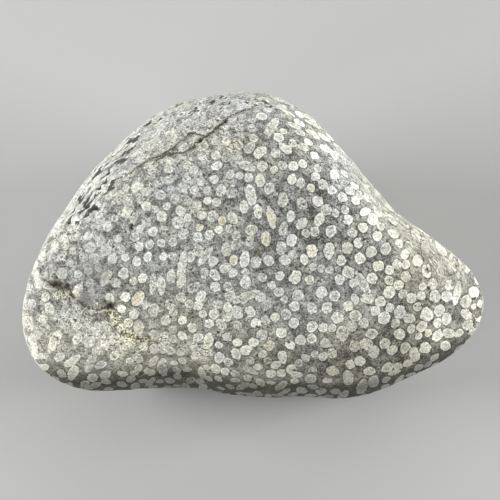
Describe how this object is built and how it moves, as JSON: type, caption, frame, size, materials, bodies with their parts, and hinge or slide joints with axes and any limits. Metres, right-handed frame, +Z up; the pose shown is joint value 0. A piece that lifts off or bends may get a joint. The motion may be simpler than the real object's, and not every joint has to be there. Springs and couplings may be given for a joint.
{
  "type": "fossil coral pebble",
  "caption": "Water-worn pebble of fossil colonial coral, a humped triangular stone patterned all over with small round cross-sections of tubes.",
  "frame": {"origin": "middle of the bounding box's floor, on the flat patch that the pebble rests on", "axes": "+X along the length towards the blunt nose, +Y across the width towards the hump, +Z up through the thickness"},
  "size_m": [0.114, 0.072, 0.053],
  "materials": {
    "coral_stone": "smooth water-worn matt limestone, blue-grey matrix with pale cream tubes, brown stain in hollows"
  },
  "bodies": {
    "root": {"coral_pebble": "coral_stone"}
  },
  "joints": []
}
